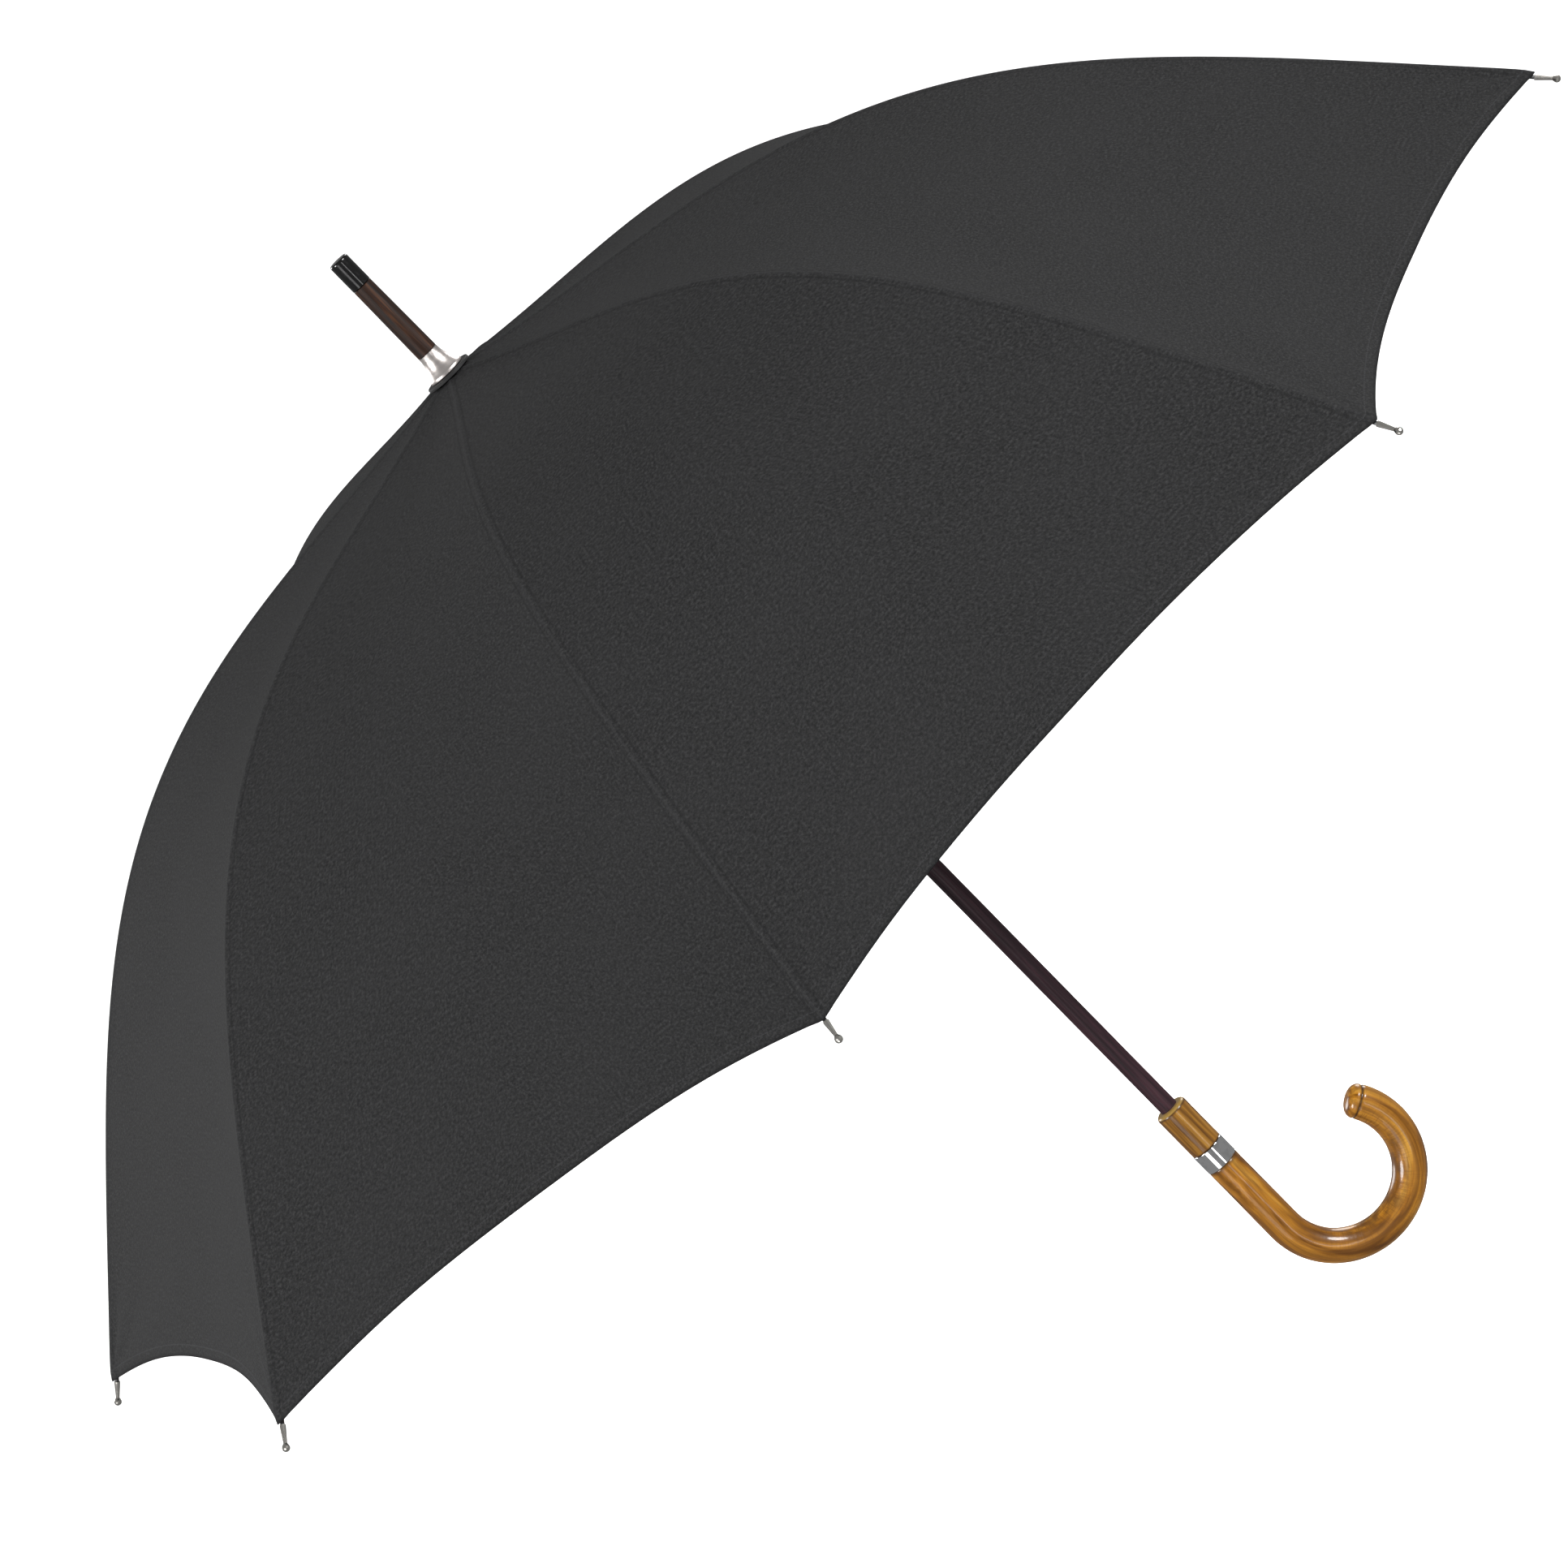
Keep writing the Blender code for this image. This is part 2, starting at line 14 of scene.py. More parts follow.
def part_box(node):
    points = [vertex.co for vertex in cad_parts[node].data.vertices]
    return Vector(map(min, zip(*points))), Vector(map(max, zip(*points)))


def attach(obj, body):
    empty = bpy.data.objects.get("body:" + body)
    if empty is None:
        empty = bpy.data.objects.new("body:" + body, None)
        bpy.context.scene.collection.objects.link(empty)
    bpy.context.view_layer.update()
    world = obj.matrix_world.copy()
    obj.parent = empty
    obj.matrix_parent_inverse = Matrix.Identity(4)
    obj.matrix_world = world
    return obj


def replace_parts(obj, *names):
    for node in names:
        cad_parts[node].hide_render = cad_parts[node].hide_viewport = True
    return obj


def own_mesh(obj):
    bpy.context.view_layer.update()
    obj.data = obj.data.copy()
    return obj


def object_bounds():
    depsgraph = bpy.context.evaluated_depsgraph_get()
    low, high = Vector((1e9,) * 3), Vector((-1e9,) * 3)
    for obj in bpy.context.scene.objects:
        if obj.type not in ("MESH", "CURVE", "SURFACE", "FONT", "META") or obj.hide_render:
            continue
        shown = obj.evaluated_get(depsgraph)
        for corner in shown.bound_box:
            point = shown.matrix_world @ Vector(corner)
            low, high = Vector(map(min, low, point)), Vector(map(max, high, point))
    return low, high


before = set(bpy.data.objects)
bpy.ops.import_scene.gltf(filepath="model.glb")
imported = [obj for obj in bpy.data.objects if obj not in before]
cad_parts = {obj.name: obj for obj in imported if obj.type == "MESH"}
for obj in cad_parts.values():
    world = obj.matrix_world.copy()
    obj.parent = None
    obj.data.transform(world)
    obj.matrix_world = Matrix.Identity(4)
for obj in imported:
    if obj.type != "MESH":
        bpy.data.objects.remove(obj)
CAD_LOW, CAD_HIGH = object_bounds()

# canopy, as in the CAD part
RIB_COUNT = 8
FIRST_RIB_AZIMUTH = math.radians(-10)
SECTOR = 2 * math.pi / RIB_COUNT
RIB_LENGTH = 0.690
CROWN_Z = 0.7165
CROWN_RADIUS = 0.014
CROWN_SLOPE = math.radians(10)
RIM_SLOPE = math.radians(47.3)
MIDDLE_BEND = 0.22
INNER_BEND = 0.05
HEM_RISE = 0.0365
HEM_POWER = 2.5
JOINT_SHARE = 0.41

# cloth
STRIP_HALF = 0.011
SEAM_RIDGE = 0.0005
SEAM_HALF = 0.0013
SAG = 0.0120
RIPPLE = 0.0009
RIPPLES_PER_METRE = 11
PUCKER = 0.0016
PUCKER_REACH = 0.045
HEM_WIDTH = 0.007
HEM_THICKNESS = 0.0009
ROW_LENGTH = 0.0058
SIDE_CELL = 0.0065

# crook, as in the CAD part
CROOK_RADIUS = 0.0112
BEND_RADIUS = 0.0463
BEND_ANGLE = math.radians(212)
GRIP_HALF = 0.0283
END_DOME = 0.0066
ROD_END = 2 * GRIP_HALF + BEND_RADIUS * BEND_ANGLE
CREASE = ROD_END - 0.0010

# camera
TARGET = Vector((-0.0294, 0, 0.3932))
CAMERA_AZIMUTH = math.radians(-0.06)
CAMERA_ELEVATION = math.radians(11.11)
CAMERA_ROLL = math.radians(-44.54)
CAMERA_DISTANCE = 4.827
LENS = 181.1

FLOOR_DROP = 0.95

# lights: name, place, width, power, height (0 for a disk)
WORLD_LIGHT = 0.24
LIGHTS = [
    ("key", (3.9, -3.0, 2.2), 1.8, 250, 0),
    ("fill", (-4.0, -2.2, 2.2), 1.8, 190, 0),
    ("back_left", (-3.4, 4.0, 2.6), 2.6, 130, 0),
    ("back_right", (3.4, 4.2, 2.6), 2.6, 105, 0),
    ("strip_left", (-1.9, -2.6, -0.3), 1.2, 17, 1.8),
    ("strip_right", (0.8, -3.1, -0.3), 0.4, 11, 1.8),
]


# ---- materials ----


class Surface:
    """One procedural material, put together node by node."""

    def __init__(self, name, coords=None):
        self.material = bpy.data.materials.new(name)
        self.material.use_nodes = True
        self.tree = self.material.node_tree
        self.shader = self.tree.nodes["Principled BSDF"]
        if coords is None:
            self.place = self.node("ShaderNodeTexCoord").outputs["Object"]
        elif coords == "straight":
            self.place = self.node("ShaderNodeAttribute", attribute_name=coords).outputs["Vector"]
        else:
            self.place = self.node("ShaderNodeUVMap", uv_map=coords).outputs["UV"]

    def node(self, kind, inputs=None, **settings):
        item = self.tree.nodes.new(kind)
        for key, value in settings.items():
            setattr(item, key, value)
        for key, value in (inputs or {}).items():
            self.put(item.inputs[key], value)
        return item

    def put(self, socket, value):
        if isinstance(value, bpy.types.NodeSocket):
            self.tree.links.new(value, socket)
        else:
            socket.default_value = value

    def scaled(self, scale):
        return self.node("ShaderNodeMapping", {"Vector": self.place, "Scale": scale}).outputs[0]

    def noise(self, scale, detail=4, roughness=0.55, distortion=0, stretch=(1, 1, 1)):
        """Noise of about 1 / scale metres, longer along an axis whose stretch is under 1."""
        inputs = {
            "Vector": self.scaled(stretch),
            "Scale": scale,
            "Detail": detail,
            "Roughness": roughness,
            "Distortion": distortion,
        }
        return self.node("ShaderNodeTexNoise", inputs).outputs["Fac"]

    def wave(self, scale, axis, distortion=0, detail=2, detail_scale=1):
        inputs = {
            "Vector": self.place,
            "Scale": scale,
            "Distortion": distortion,
            "Detail": detail,
            "Detail Scale": detail_scale,
        }
        return self.node("ShaderNodeTexWave", inputs, bands_direction=axis).outputs["Fac"]

    def ramp(self, factor, stops):
        item = self.node("ShaderNodeValToRGB", {"Fac": factor})
        elements = item.color_ramp.elements
        while len(elements) < len(stops):
            elements.new(1)
        for element, (position, colour) in zip(elements, stops):
            element.position = position
            element.color = (*colour, 1)
        return item.outputs["Color"]

    def span(self, factor, start, end, low=0.0, high=1.0, smooth=False):
        inputs = {"Value": factor, "From Min": start, "From Max": end, "To Min": low, "To Max": high}
        kind = "SMOOTHSTEP" if smooth else "LINEAR"
        return self.node("ShaderNodeMapRange", inputs, interpolation_type=kind).outputs["Result"]

    def math(self, operation, a, b=0.0):
        return self.node("ShaderNodeMath", {0: a, 1: b}, operation=operation).outputs[0]

    def mix(self, factor, a, b, blend="MIX"):
        item = self.node("ShaderNodeMix", data_type="RGBA", blend_type=blend)
        self.put(item.inputs[0], factor)
        for socket, value in ((item.inputs[6], a), (item.inputs[7], b)):
            self.put(socket, (*value, 1) if isinstance(value, tuple) else value)
        return item.outputs[2]

    def axis(self, index):
        return self.node("ShaderNodeSeparateXYZ", {0: self.place}).outputs[index]

    def bump(self, height, distance, strength=1.0):
        inputs = {"Height": height, "Distance": distance, "Strength": strength}
        item = self.node("ShaderNodeBump", inputs)
        if self.shader.inputs["Normal"].is_linked:
            self.put(item.inputs["Normal"], self.shader.inputs["Normal"].links[0].from_socket)
        self.put(self.shader.inputs["Normal"], item.outputs["Normal"])

    def set(self, **values):
        """Sets the shader's sockets. A name's underscore stands for a space."""
        for key, value in values.items():
            name = key.replace("_", " ")
            if isinstance(value, tuple):
                value = (*value, 1)
            self.put(self.shader.inputs[name], value)
        return self


def canopy_cloth():
    """Closely woven black cloth with a matt face, a faint mottle and a stitched hem; each seam has a
    painted highlight along its ridge and a painted shadow line beside it.
    """
    cloth = Surface("canopy_cloth", "cloth")
    mottle = cloth.noise(560, detail=4, roughness=0.75)
    streak = cloth.noise(520, detail=2, stretch=(1, 0.3, 1))
    cross = cloth.noise(520, detail=2, stretch=(0.3, 1, 1))
    threads = cloth.math("ADD", streak, cross)
    tone = cloth.math("MULTIPLY_ADD", mottle, 0.8)
    cloth.put(tone.node.inputs[2], cloth.math("MULTIPLY", threads, 0.1))
    colour = cloth.ramp(
        tone,
        [
            (0.34, (0.010, 0.010, 0.0105)),
            (0.50, (0.026, 0.026, 0.0265)),
            (0.66, (0.054, 0.054, 0.055)),
        ],
    )
    wear = cloth.noise(9, detail=4)
    colour = cloth.mix(cloth.span(wear, 0.35, 0.75, 0, 0.3), colour, (0.036, 0.036, 0.037))
    hem_place = cloth.node("ShaderNodeUVMap", uv_map="hem").outputs["UV"]
    hem = cloth.node("ShaderNodeSeparateXYZ", {0: hem_place}).outputs[1]
    aside = cloth.math("ABSOLUTE", cloth.axis(0))
    # Painted shadow: a dark line 3.2 mm to each side of the seam, beside the seam ridge.
    seam_shadow_line = cloth.math("COMPARE", aside, 0.0032)
    seam_shadow_line.node.inputs[2].default_value = 0.0007
    colour = cloth.mix(cloth.math("MULTIPLY", seam_shadow_line, 0.35), colour, (0.014, 0.014, 0.0145))
    # Painted highlight: a lighter line along the top of the seam ridge.
    colour = cloth.mix(cloth.span(aside, 0.0011, 0.0005, 0, 0.2), colour, (0.055, 0.055, 0.057))
    border = cloth.span(hem, 0.0, 0.0022, 0.55, 0.0)
    colour = cloth.mix(border, colour, (0.007, 0.007, 0.008))
    line = cloth.math("COMPARE", hem, HEM_WIDTH)
    line.node.inputs[2].default_value = 0.0004
    along = cloth.node("ShaderNodeSeparateXYZ", {0: hem_place}).outputs[0]
    gaps = cloth.math("GREATER_THAN", cloth.math("FRACT", cloth.math("MULTIPLY", along, 400)), 0.3)
    stitches = cloth.math("MULTIPLY", line, gaps)
    colour = cloth.mix(cloth.math("MULTIPLY", stitches, 0.6), colour, (0.05, 0.05, 0.053))
    roughness = cloth.span(mottle, 0.3, 0.7, 0.72, 0.9)
    cloth.set(Base_Color=colour, Roughness=roughness, Specular_IOR_Level=0.05)
    weave = cloth.math("ADD", cloth.wave(520, "X", 0.6), cloth.wave(520, "Y", 0.6))
    cloth.bump(weave, 0.00012, 0.5)
    cloth.bump(mottle, 0.0004, 0.5)
    cloth.bump(cloth.noise(60, detail=3), 0.0006, 0.25)
    return cloth.material


def maple():
    """Honey-coloured bent wood under clear varnish, pinched and creased inside the bend, with patches
    of scorch and painted shade there, and painted shade in the creases and in the lip's groove.
    """
    wood = Surface("maple", "straight")
    grain = wood.noise(300, detail=6, roughness=0.6, distortion=0.4, stretch=(0.055, 1, 1))
    figure = wood.noise(130, detail=5, distortion=0.5, stretch=(0.14, 1, 1))
    pores = wood.noise(1500, detail=2, stretch=(0.045, 1, 1))
    colour = wood.ramp(
        figure,
        [
            (0.34, (0.12, 0.042, 0.005)),
            (0.46, (0.31, 0.122, 0.012)),
            (0.56, (0.49, 0.210, 0.022)),
            (0.68, (0.64, 0.32, 0.048)),
        ],
    )
    colour = wood.mix(wood.span(grain, 0.44, 0.62, 0, 0.6), colour, (0.17, 0.068, 0.012))
    colour = wood.mix(wood.span(pores, 0.60, 0.72, 0, 0.35), colour, (0.12, 0.045, 0.012))
    inner = wood.span(wood.axis(1), -0.0020, 0.0085, 0, 1, smooth=True)
    bent = wood.span(wood.axis(0), 0.055, 0.115, 0, 1, smooth=True)
    before_end = wood.span(wood.axis(0), 0.222, 0.175, 0, 1, smooth=True)
    pinched = wood.math("MULTIPLY", inner, wood.math("MULTIPLY", bent, before_end))
    patches = wood.noise(120, detail=3, stretch=(0.6, 1, 1))
    # Partly scorch from bending, partly painted shade: darker patches on the inner side of the bend.
    scorch_and_painted_shade = wood.math("MULTIPLY", pinched, wood.span(patches, 0.40, 0.62, 0.1, 0.85))
    colour = wood.mix(scorch_and_painted_shade, colour, (0.10, 0.045, 0.016))
    lines = wood.noise(900, detail=2, stretch=(1, 0.11, 0.11))
    creases = wood.math("MULTIPLY", wood.span(lines, 0.50, 0.60), wood.span(inner, 0, 1, 0.25, 1))
    creases = wood.math("MULTIPLY", creases, bent)
    # Painted shade: the crease lines inside the bend are darkened.
    colour = wood.mix(wood.math("MULTIPLY", creases, 0.55), colour, (0.15, 0.058, 0.012))
    # Painted shade in the groove of the lip near the crook's end.
    off_crease = wood.math("ABSOLUTE", wood.math("SUBTRACT", wood.axis(0), CREASE))
    colour = wood.mix(wood.span(off_crease, 0.0012, 0.0003, 0, 0.85), colour, (0.040, 0.016, 0.004))
    top = wood.span(wood.axis(0), 0.0026, 0.0004, 0, 0.75)
    colour = wood.mix(top, colour, (0.060, 0.024, 0.006))
    wood.set(Base_Color=colour, Roughness=wood.span(grain, 0.3, 0.7, 0.24, 0.36))
    wood.set(Coat_Weight=0.4, Coat_Roughness=0.06, Specular_IOR_Level=0.2)
    wood.bump(grain, 0.00008, 0.35)
    wood.bump(creases, 0.0001, 0.3)
    return wood.material


def turned_wood(name, dark, middle, light, roughness, coat, gloss=0.12):
    """Straight-grained wood along the shaft."""
    wood = Surface(name)
    grain = wood.noise(900, detail=5, roughness=0.65, distortion=0.3, stretch=(1, 1, 0.03))
    figure = wood.noise(330, detail=4, distortion=0.4, stretch=(1, 1, 0.05))
    colour = wood.ramp(figure, [(0.32, dark), (0.52, middle), (0.72, light)])
    colour = wood.mix(wood.span(grain, 0.45, 0.68, 0, 0.6), colour, dark)
    wood.set(Base_Color=colour, Roughness=wood.span(grain, 0.3, 0.7, roughness, roughness + 0.12))
    wood.set(Coat_Weight=coat, Coat_Roughness=gloss, Specular_IOR_Level=0.25)
    wood.bump(grain, 0.00008, 0.4)
    return wood


def shaft_wood():
    wood = turned_wood(
        "stained_wood",
        dark=(0.014, 0.005, 0.008),
        middle=(0.036, 0.012, 0.019),
        light=(0.062, 0.024, 0.032),
        roughness=0.46,
        coat=0.08,
        gloss=0.3,
    )
    return wood.material


def walnut():
    wood = turned_wood(
        "walnut",
        dark=(0.006, 0.003, 0.002),
        middle=(0.030, 0.011, 0.005),
        light=(0.130, 0.050, 0.020),
        roughness=0.42,
        coat=0.06,
        gloss=0.2,
    )
    return wood.material


def collar_wood():
    """The collar: honey wood with a dark line and an olive gold rim at its top."""
    wood = turned_wood(
        "collar_maple",
        dark=(0.11, 0.042, 0.006),
        middle=(0.30, 0.130, 0.015),
        light=(0.48, 0.24, 0.036),
        roughness=0.28,
        coat=0.4,
        gloss=0.06,
    )
    low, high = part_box("handle_collar")
    height = wood.axis(2)
    rim = wood.span(height, high[2] - 0.0016, high[2] - 0.0012)
    line = wood.span(height, high[2] - 0.0030, high[2] - 0.0020)
    colour = wood.shader.inputs["Base Color"].links[0].from_socket
    colour = wood.mix(wood.math("MULTIPLY", line, 0.75), colour, (0.055, 0.024, 0.008))
    colour = wood.mix(rim, colour, (0.36, 0.22, 0.055))
    foot = wood.span(height, low[2] + 0.0012, low[2] + 0.0002, 0, 0.6)
    wood.set(Base_Color=wood.mix(foot, colour, (0.09, 0.035, 0.010)))
    return wood.material


def polished_metal(name, colour, roughness, stretch, tarnish=(0.20, 0.19, 0.17)):
    """Bright metal with fine polishing lines and a little tarnish."""
    metal = Surface(name)
    lines = metal.noise(1600, detail=3, stretch=stretch)
    cloud = metal.noise(160, detail=4)
    tone = metal.mix(metal.span(cloud, 0.5, 0.8, 0, 0.35), colour, tarnish)
    metal.set(Base_Color=tone, Metallic=1.0)
    metal.set(Roughness=metal.span(lines, 0.35, 0.7, roughness, roughness + 0.10))
    metal.bump(lines, 0.00001, 0.3)
    return metal.material


def painted_steel():
    """Black stoved paint, rubbed to grey steel in places."""
    paint = Surface("black_steel")
    cloud = paint.noise(90, detail=5)
    scratches = paint.noise(700, detail=3, stretch=(0.15, 0.15, 1))
    rubbed = paint.math("MULTIPLY", paint.span(cloud, 0.55, 0.75), paint.span(scratches, 0.55, 0.7))
    paint.set(Base_Color=paint.mix(rubbed, (0.018, 0.018, 0.019), (0.16, 0.16, 0.165)))
    paint.set(Metallic=paint.span(rubbed, 0, 1, 0.1, 0.9))
    paint.set(Roughness=paint.span(cloud, 0.3, 0.7, 0.34, 0.5), Coat_Weight=0.2)
    paint.bump(paint.noise(900, detail=2), 0.00003, 0.3)
    return paint.material


def moulded(name, colour, roughness, grain, coat=0.0):
    """A moulded or lacquered black surface with a faint skin of its own."""
    skin = Surface(name)
    cloud = skin.noise(130, detail=4)
    fine = skin.noise(grain, detail=3)
    lighter = tuple(min(1, 2.2 * part) for part in colour)
    skin.set(Base_Color=skin.mix(skin.span(cloud, 0.45, 0.8, 0, 0.5), colour, lighter))
    skin.set(Roughness=skin.span(fine, 0.3, 0.7, roughness, roughness + 0.15), Coat_Weight=coat)
    skin.bump(fine, 0.00006, 0.35)
    return skin.material


# ---- meshes ----


def new_object(name, mesh, material, body):
    item = bpy.data.objects.new(name, mesh)
    bpy.context.scene.collection.objects.link(item)
    mesh.materials.append(material)
    mesh.shade_smooth()
    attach(item, body)
    return item


def grid_mesh(name, points, layers):
    """A mesh of quads from a grid of points, with one UV map for each layer of (u, v)."""
    rows, columns = points.shape[:2]
    corner = np.arange(rows * columns).reshape(rows, columns)
    faces = np.stack(
        [corner[:-1, :-1], corner[1:, :-1], corner[1:, 1:], corner[:-1, 1:]], axis=-1
    ).reshape(-1, 4)
    mesh = bpy.data.meshes.new(name)
    mesh.from_pydata(points.reshape(-1, 3).tolist(), [], faces.tolist())
    for layer, values in layers.items():
        uv = mesh.uv_layers.new(name=layer)
        uv.data.foreach_set("uv", values.reshape(-1, 2)[faces.reshape(-1)].ravel())
    return mesh


# ---- canopy ----


def meridian_table(count=2000):
    """Radius and height of the canopy over a rib, at even shares of the rib's length."""
    share = (np.arange(count) + 0.5) / count
    fall = slope_at(share)
    step = RIB_LENGTH / count
    radius = CROWN_RADIUS + np.concatenate([[0], np.cumsum(step * np.cos(fall))])
    height = CROWN_Z - np.concatenate([[0], np.cumsum(step * np.sin(fall))])
    return np.linspace(0, 1, count + 1), radius, height


def slope_at(share):
    angle = np.pi * share
    even = share - MIDDLE_BEND * np.sin(2 * angle) - INNER_BEND * np.sin(3 * angle)
    return CROWN_SLOPE + (RIM_SLOPE - CROWN_SLOPE) * even


SHARES, RADII, HEIGHTS = meridian_table()
HALF = SECTOR / 2
HALF_SHARE = math.sin(HALF) * math.cos(HALF)


def radius_at(share):
    return np.interp(share, SHARES, RADII)


def half_width(share):
    """Distance from a rib's plane to the gores' middle lines."""
    return HALF_SHARE * radius_at(share)


def hem_share(side):
    """Where the hem lies along the rib, at a share of the way to the gore's middle line."""
    return 1 - HEM_RISE * (1 - (1 - np.abs(side)) ** HEM_POWER)


def ripples(points):
    """Low waves in the cloth, from the place of each point."""
    heights = []
    for point in points.reshape(-1, 3):
        place = Vector(point) * RIPPLES_PER_METRE
        heights.append(noise.noise(place, noise_basis="PERLIN_ORIGINAL"))
    return np.array(heights).reshape(points.shape[:2])


def cloth_points(share, across, azimuth):
    """Points of the sewn canopy over one rib, in the frame's axes.

    The gores run flat from rib to rib and are drawn a little inward between them. A felled seam
    stands up along the rib, and the corner at the rib's tip is gathered.
    """
    radius, height = radius_at(share), np.interp(share, SHARES, HEIGHTS)
    fall = slope_at(share)
    width = half_width(share)
    rounded = np.sqrt(across**2 + SEAM_HALF**2) - SEAM_HALF
    near = np.clip(np.abs(across) / STRIP_HALF, 0, 1)
    ease = near * near * (3 - 2 * near)
    inset = (rounded + (np.abs(across) - rounded) * ease) * math.tan(HALF)
    points = np.stack([radius - inset, across, height], axis=-1)
    gore_fall = np.arctan2(np.sin(fall), math.cos(HALF) * np.cos(fall))
    side = np.sign(across)
    normal = np.stack(
        [
            np.sin(gore_fall) * (1 - ease + ease * math.cos(HALF)),
            np.sin(gore_fall) * ease * side * math.sin(HALF),
            np.cos(gore_fall),
        ],
        axis=-1,
    )
    normal /= np.linalg.norm(normal, axis=-1, keepdims=True)
    middle = np.clip(np.abs(across) / np.maximum(width, 1e-6), 0, 1)
    drawn = -SAG * (width / half_width(1)) * (1 - (1 - middle) ** 2)
    ridge = SEAM_RIDGE * np.exp(-((across / SEAM_HALF) ** 2))
    down = (1 - share) * RIB_LENGTH
    reach = np.hypot(across, down)
    angle = np.arctan2(np.abs(across), np.maximum(down, 1e-6))
    gathers = PUCKER * np.cos(11 * angle) * np.exp(-reach / PUCKER_REACH) * reach / (reach + 0.006)
    turned = turn_about_z(points, azimuth)
    waves = RIPPLE * ripples(turned) * np.clip(4 * np.abs(across) / half_width(1), 0, 1)
    lift = drawn + ridge + gathers + waves
    return turn_about_z(points + normal * lift[..., None], azimuth), turn_about_z(normal, azimuth)


def turn_about_z(points, azimuth):
    c, s = math.cos(azimuth), math.sin(azimuth)
    return points @ np.array([[c, s, 0], [-s, c, 0], [0, 0, 1]])


def turned_hem(points, normal):
    """Adds the cloth that is turned under along the last row and stitched down."""
    down = points[-1] - points[-2]
    down /= np.linalg.norm(down, axis=-1, keepdims=True)
    edge, up = points[-1], normal[-1]
    fold = edge + down * HEM_THICKNESS * 0.4 - up * HEM_THICKNESS * 0.5
    steps = [fold, edge - up * HEM_THICKNESS - down * HEM_THICKNESS * 0.3]
    steps.append(edge - up * HEM_THICKNESS - down * HEM_WIDTH)
    return np.concatenate([points, np.array(steps)])


def canopy_piece(rib, level, start, end, low, high, columns):
    """One stretch of cloth beside a rib. low and high are shares of the way from the strip's edge
    to the gore's middle line, or of the strip itself when low is under 0."""
    azimuth = FIRST_RIB_AZIMUTH - (rib - 1) * SECTOR
    rows = round((end - start) * RIB_LENGTH / ROW_LENGTH)
    part = np.linspace(low, high, columns + 1)[None, :]
    step = np.linspace(0, 1, rows + 1)[:, None]
    strip_end = STRIP_HALF / half_width(1)
    if low < 0 < high:
        side_at_hem = np.abs(part) * strip_end
    else:
        side_at_hem = strip_end + np.abs(part) * (1 - strip_end)
    last = hem_share(side_at_hem) if level == "lower" else end
    share = start + (last - start) * step
    width = half_width(share)
    if low < 0 < high:
        across = part * np.minimum(STRIP_HALF, width)
    else:
        across = np.sign(low + high) * (STRIP_HALF + np.abs(part) * (width - STRIP_HALF))
    share = share + 0 * across
    points, normal = cloth_points(share, across, azimuth)
    along = share * RIB_LENGTH
    edge = (hem_share(side_at_hem) - share) * RIB_LENGTH
    if level == "lower":
        points = turned_hem(points, normal)
        under = np.array([[0], [HEM_THICKNESS], [HEM_WIDTH]])
        along = np.concatenate([along, along[-1:] + under])
        edge = np.concatenate([edge, under + 0 * edge[-1:]])
        across = np.concatenate([across, np.repeat(across[-1:], len(under), axis=0)])
    layers = {"cloth": np.stack([across, along], axis=-1), "hem": np.stack([across, edge], axis=-1)}
    area = float(np.mean(np.ptp(across, axis=1)) * (points.shape[0] - 1) * ROW_LENGTH)
    return points, layers, area, float(np.max(np.ptp(across, axis=1)))


def build_canopy(cloth):
    """Cloth over each rib: a narrow strip along the seam, and a side each way to mid gore."""
    side_start = float(np.interp(1.03 * STRIP_HALF, HALF_SHARE * RADII, SHARES))
    levels = [("upper", 0.0, JOINT_SHARE, "rib_{}"), ("lower", JOINT_SHARE, 1.0, "rib_end_{}")]
    for rib in range(1, RIB_COUNT + 1):
        for level, start, end, body in levels:
            columns = round((half_width(end) - STRIP_HALF) / SIDE_CELL)
            stretches = [
                ("seam", start, -1, 1, 14),
                ("left", max(start, side_start), 0, 1, columns),
                ("right", max(start, side_start), -1, 0, columns),
            ]
            for part, begin, low, high, count in stretches:
                name = f"canopy_cloth_{rib}_{level}_{part}"
                points, layers, area, width = canopy_piece(rib, level, begin, end, low, high, count)
                item = new_object(
                    name, grid_mesh(name, points, layers), cloth, body.format(rib)
                )
                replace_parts(item, f"canopy_{rib}_{level}")
                if part != "seam":
                    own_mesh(item)


# ---- round pieces ----


def side_faces(rings, count):
    """Quads between neighbouring rings of points. They face out when the rings run downward."""
    faces = []
    for ring in range(rings - 1):
        here, there = ring * count, (ring + 1) * count
        for i in range(count):
            after = (i + 1) % count
            faces.append((here + i, there + i, there + after, here + after))
    return faces


# ---- crook ----


def crook_frame(run):
    """Middle, direction and inward direction of the crook, at a length from its top."""
    straight = 2 * GRIP_HALF
    if run <= straight:
        return Vector((0, 0, GRIP_HALF - run)), Vector((0, 0, -1)), Vector((1, 0, 0))
    angle = min((run - straight) / BEND_RADIUS, BEND_ANGLE)
    x = BEND_RADIUS * (1 - math.cos(angle))
    middle = Vector((x, 0, -GRIP_HALF - BEND_RADIUS * math.sin(angle)))
    onward = Vector((math.sin(angle), 0, -math.cos(angle)))
    beyond = run - ROD_END
    inward = Vector((math.cos(angle), 0, math.sin(angle)))
    return middle + onward * max(beyond, 0), onward, inward


